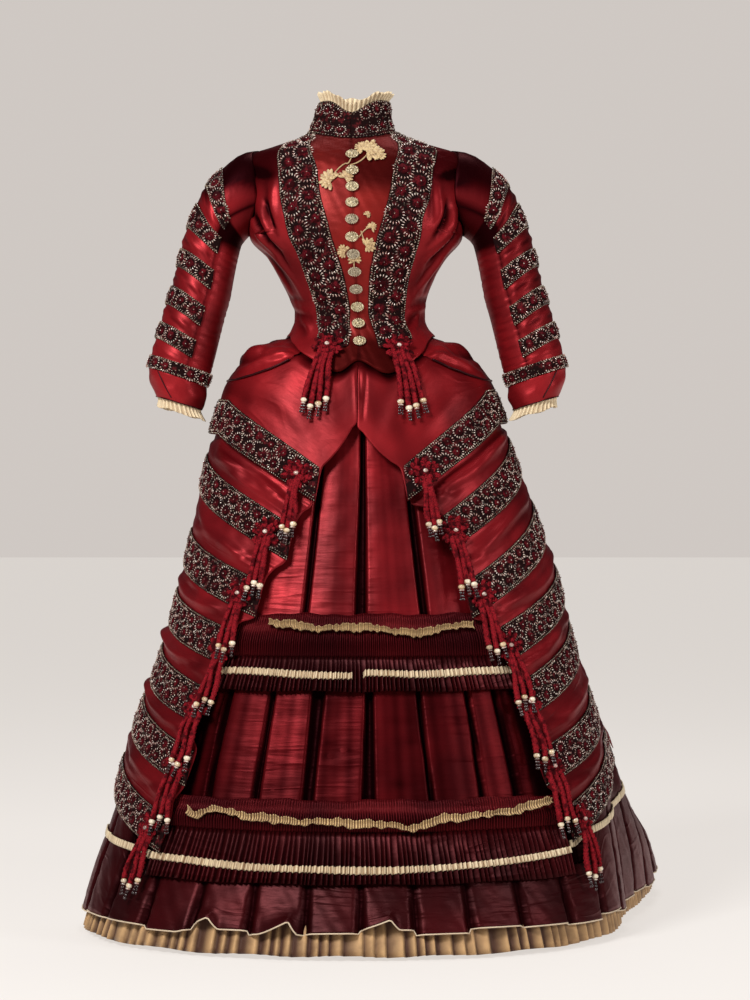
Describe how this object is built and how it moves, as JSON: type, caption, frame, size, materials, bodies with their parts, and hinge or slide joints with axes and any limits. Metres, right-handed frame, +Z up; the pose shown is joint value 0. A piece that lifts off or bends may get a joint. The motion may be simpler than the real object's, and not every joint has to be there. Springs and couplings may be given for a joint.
{
  "type": "victorian dress",
  "caption": "Worn, hollow Victorian dress: fitted bodice with long sleeves, draped overskirt with beaded bands over a flounced underskirt, and a short train behind.",
  "frame": {"origin": "between the wearer's shoulders, 1.28 m above the floor under the hem", "axes": "+Z up, the front faces -Y, +X is the wearer's left"},
  "size_m": [0.981, 1.1253, 1.3698],
  "materials": {
    "satin_red": "satin weave with a soft sheen",
    "vest_satin": "orange-red satin with a cream woven flower",
    "trim_band": "dark band sewn with pale glass beads in rosettes",
    "chenille_red": "chenille rosettes and silk cords",
    "cream_silk": "pleated silk",
    "gold_silk": "dull gold silk edging",
    "tan_cotton": "pleated cotton",
    "button_metal": "aged filigree"
  },
  "bodies": {
    "root": {"back_skirt": "satin_red", "bodice_back": "satin_red", "bodice_front_l": "satin_red", "bodice_front_r": "satin_red", "bustle_drape": "satin_red", "button_01": "button_metal", "button_02": "button_metal", "button_03": "button_metal", "button_04": "button_metal", "button_05": "button_metal", "button_06": "button_metal", "button_07": "button_metal", "button_08": "button_metal", "button_09": "button_metal", "button_10": "button_metal", "button_11": "button_metal", "button_12": "button_metal", "collar": "trim_band", "collar_ruffle": "cream_silk", "cuff_l": "satin_red", "cuff_r": "satin_red", "cuff_ruffle_l": "cream_silk", "cuff_ruffle_r": "cream_silk", "dust_ruffle": "tan_cotton", "flounce_lower": "satin_red", "flounce_lower_heading": "satin_red", "flounce_upper": "satin_red", "flounce_upper_heading": "satin_red", "hem_flounce": "satin_red", "hip_drape_l": "satin_red", "hip_drape_r": "satin_red", "lapel_band_l": "trim_band", "lapel_band_r": "trim_band", "overskirt_l": "satin_red", "overskirt_r": "satin_red", "polonaise_l": "satin_red", "polonaise_r": "satin_red", "skirt_band_l1": "trim_band", "skirt_band_l2": "trim_band", "skirt_band_l3": "trim_band", "skirt_band_l4": "trim_band", "skirt_band_l5": "trim_band", "skirt_band_l6": "trim_band", "skirt_band_l7": "trim_band", "skirt_band_r1": "trim_band", "skirt_band_r2": "trim_band", "skirt_band_r3": "trim_band", "skirt_band_r4": "trim_band", "skirt_band_r5": "trim_band", "skirt_band_r6": "trim_band", "skirt_band_r7": "trim_band", "sleeve_l": "satin_red", "sleeve_low_band_l": "trim_band", "sleeve_low_band_r": "trim_band", "sleeve_r": "satin_red", "underskirt_front": "satin_red", "vest_front": "vest_satin", "waist_tassel_l": "chenille_red", "waist_tassel_r": "chenille_red"}
  },
  "joints": []
}
